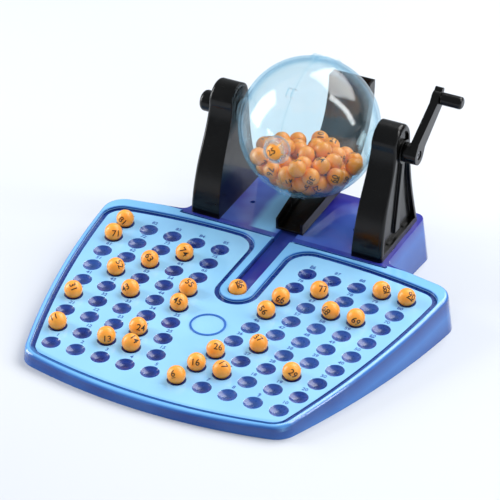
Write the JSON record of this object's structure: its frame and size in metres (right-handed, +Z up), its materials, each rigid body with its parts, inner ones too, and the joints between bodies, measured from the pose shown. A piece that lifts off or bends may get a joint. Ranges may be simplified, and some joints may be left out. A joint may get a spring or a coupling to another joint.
{
  "type": "bingo cage",
  "caption": "Table-top bingo cage: clear globe turned by a crank between two stands, ball chute and a sloping tray with a cup for each drawn ball.",
  "frame": {"origin": "middle of the footprint on the table", "axes": "+Z up, +X along the axle towards the crank, -Y towards the player"},
  "size_m": [0.261, 0.3041, 0.1472],
  "materials": {
    "tray_blue": "translucent glossy moulded plastic",
    "black_plastic": "glossy black moulded plastic with soft highlights",
    "globe_clear": "clear plastic with a light blue tint",
    "outlet_clear": "clear moulded plastic",
    "ball_orange": "satin orange plastic with a printed number",
    "screw_steel": "plated steel"
  },
  "bodies": {
    "root": {"base_tray": "tray_blue", "left_stand": "black_plastic", "right_stand": "black_plastic", "ball_chute": "black_plastic", "chute_screws": "screw_steel", "called_balls_row_1": "ball_orange", "called_balls_row_2": "ball_orange", "called_balls_row_3": "ball_orange", "called_balls_row_4": "ball_orange", "called_balls_row_5": "ball_orange", "called_balls_row_6": "ball_orange", "called_balls_row_7": "ball_orange", "called_balls_row_8": "ball_orange", "called_balls_row_9": "ball_orange", "globe_balls_layer_1": "ball_orange", "globe_balls_layer_2": "ball_orange", "globe_balls_layer_3": "ball_orange", "globe_balls_layer_4": "ball_orange"},
    "globe": {"globe_left_half": "globe_clear", "globe_right_half": "globe_clear", "outlet_ring": "outlet_clear", "outlet_ball": "ball_orange", "left_axle_cap": "black_plastic", "left_cap_screw": "screw_steel", "crank_arm": "black_plastic", "crank_screw": "screw_steel"},
    "grip": {"crank_grip": "black_plastic"},
    "drawn": {"drawn_ball": "ball_orange"}
  },
  "joints": [
    {"name": "globe_spin", "type": "hinge", "parent": "root", "child": "globe", "pos_m": [0, 0.08164, 0.09592], "axis": [1, 0, 0], "continuous": true},
    {"name": "grip_spin", "type": "hinge", "parent": "globe", "child": "grip", "pos_m": [0.0859, 0.10042, 0.13124], "axis": [1, 0, 0], "continuous": true},
    {"name": "drawn_ball_roll", "type": "slide", "parent": "root", "child": "drawn", "axis": [0, 0.9954, 0.0958], "range_m": [0, 0.062]}
  ]
}
